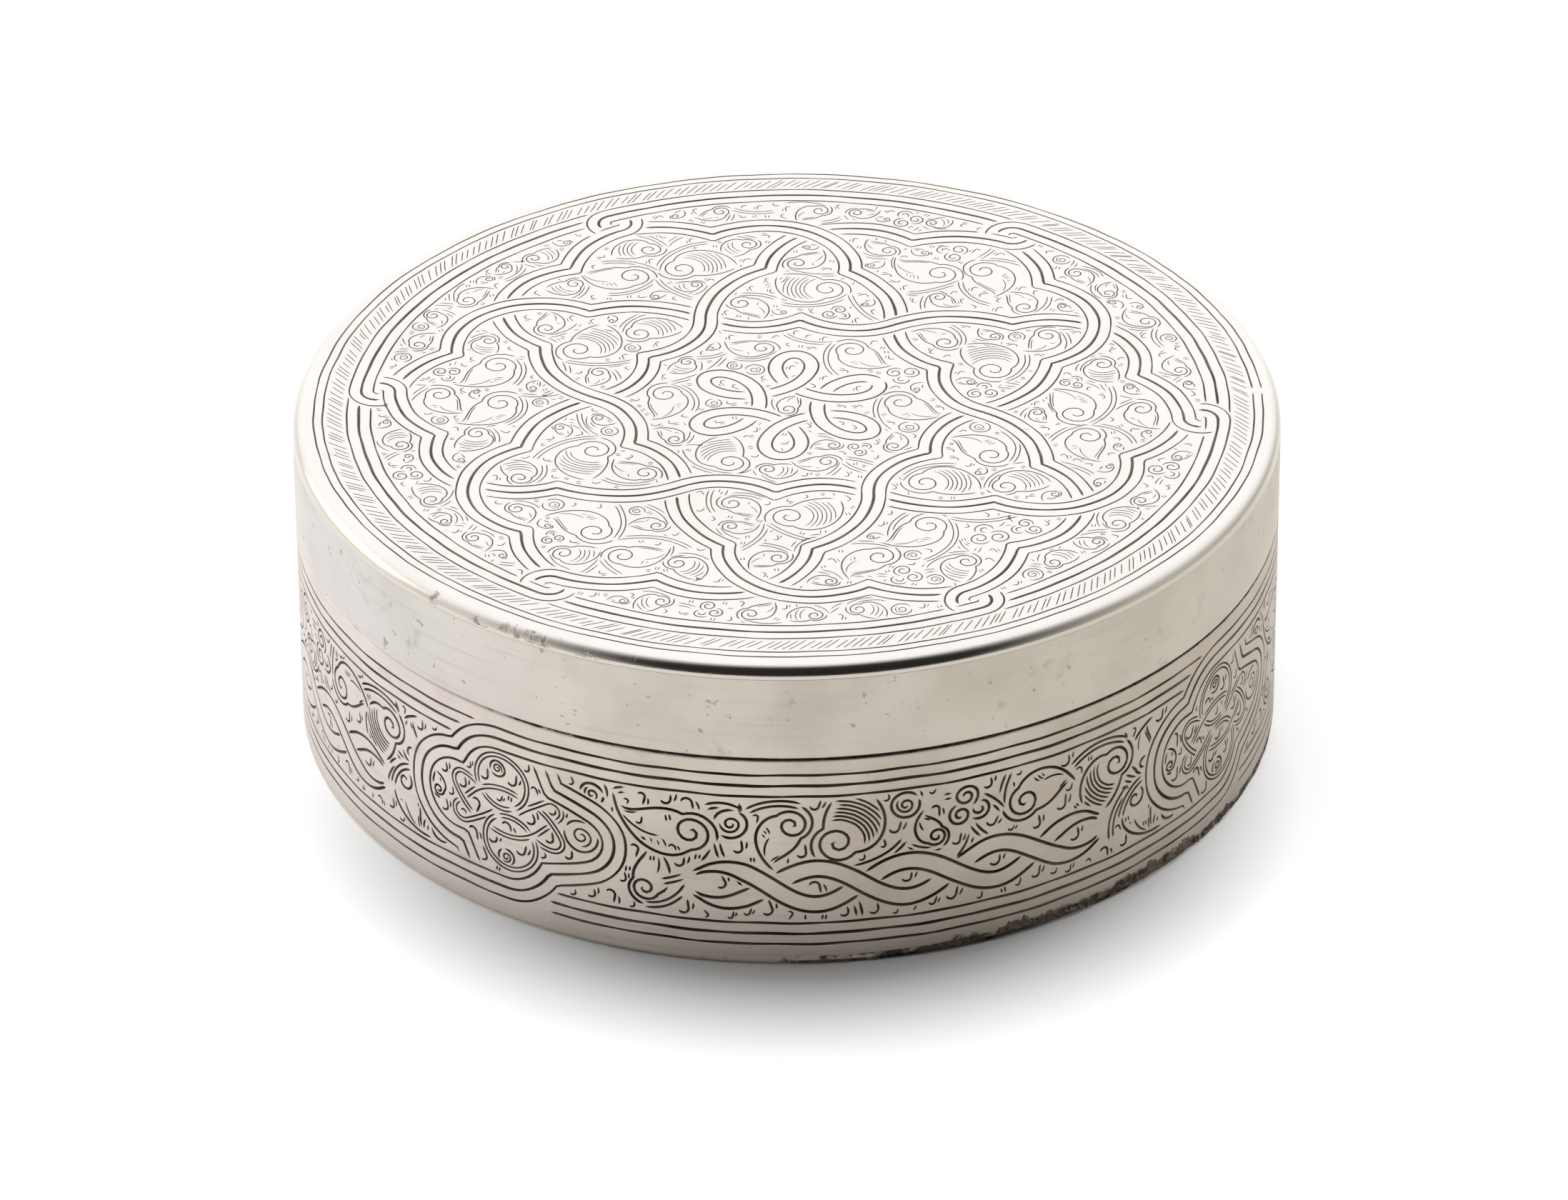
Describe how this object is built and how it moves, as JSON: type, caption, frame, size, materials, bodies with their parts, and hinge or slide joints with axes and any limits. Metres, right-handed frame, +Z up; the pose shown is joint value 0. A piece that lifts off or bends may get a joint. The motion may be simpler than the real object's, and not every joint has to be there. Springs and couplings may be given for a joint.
{
  "type": "round box with lift-off lid",
  "caption": "Round straight-sided silver box with a flat rounded-edge lid that slips over an inner collar, engraved all over with traditional interlaced straps and leaf scrolls.",
  "frame": {"origin": "centre of the flat underside of the base", "axes": "+Z up along the box's axis and the lid's way off; -Y towards the viewer; the soldered seams of the rolled strips are at +Y"},
  "size_m": [0.12, 0.12, 0.0413],
  "materials": {
    "silver_engraved": "satin",
    "silver_plain": "satin",
    "silver_solder": "satin"
  },
  "bodies": {
    "base": {"base_plate": "silver_plain", "base_wall": "silver_engraved", "base_wall_seam": "silver_solder", "base_plate_solder": "silver_solder", "inner_collar": "silver_plain", "collar_seam": "silver_solder", "collar_solder": "silver_solder"},
    "lid": {"lid_top": "silver_engraved", "lid_skirt": "silver_plain", "lid_skirt_seam": "silver_solder", "lid_top_solder": "silver_solder"}
  },
  "joints": [
    {"name": "lid_lift", "type": "slide", "parent": "base", "child": "lid", "axis": [0, 0, 1], "range_m": [0, 0.045]}
  ]
}
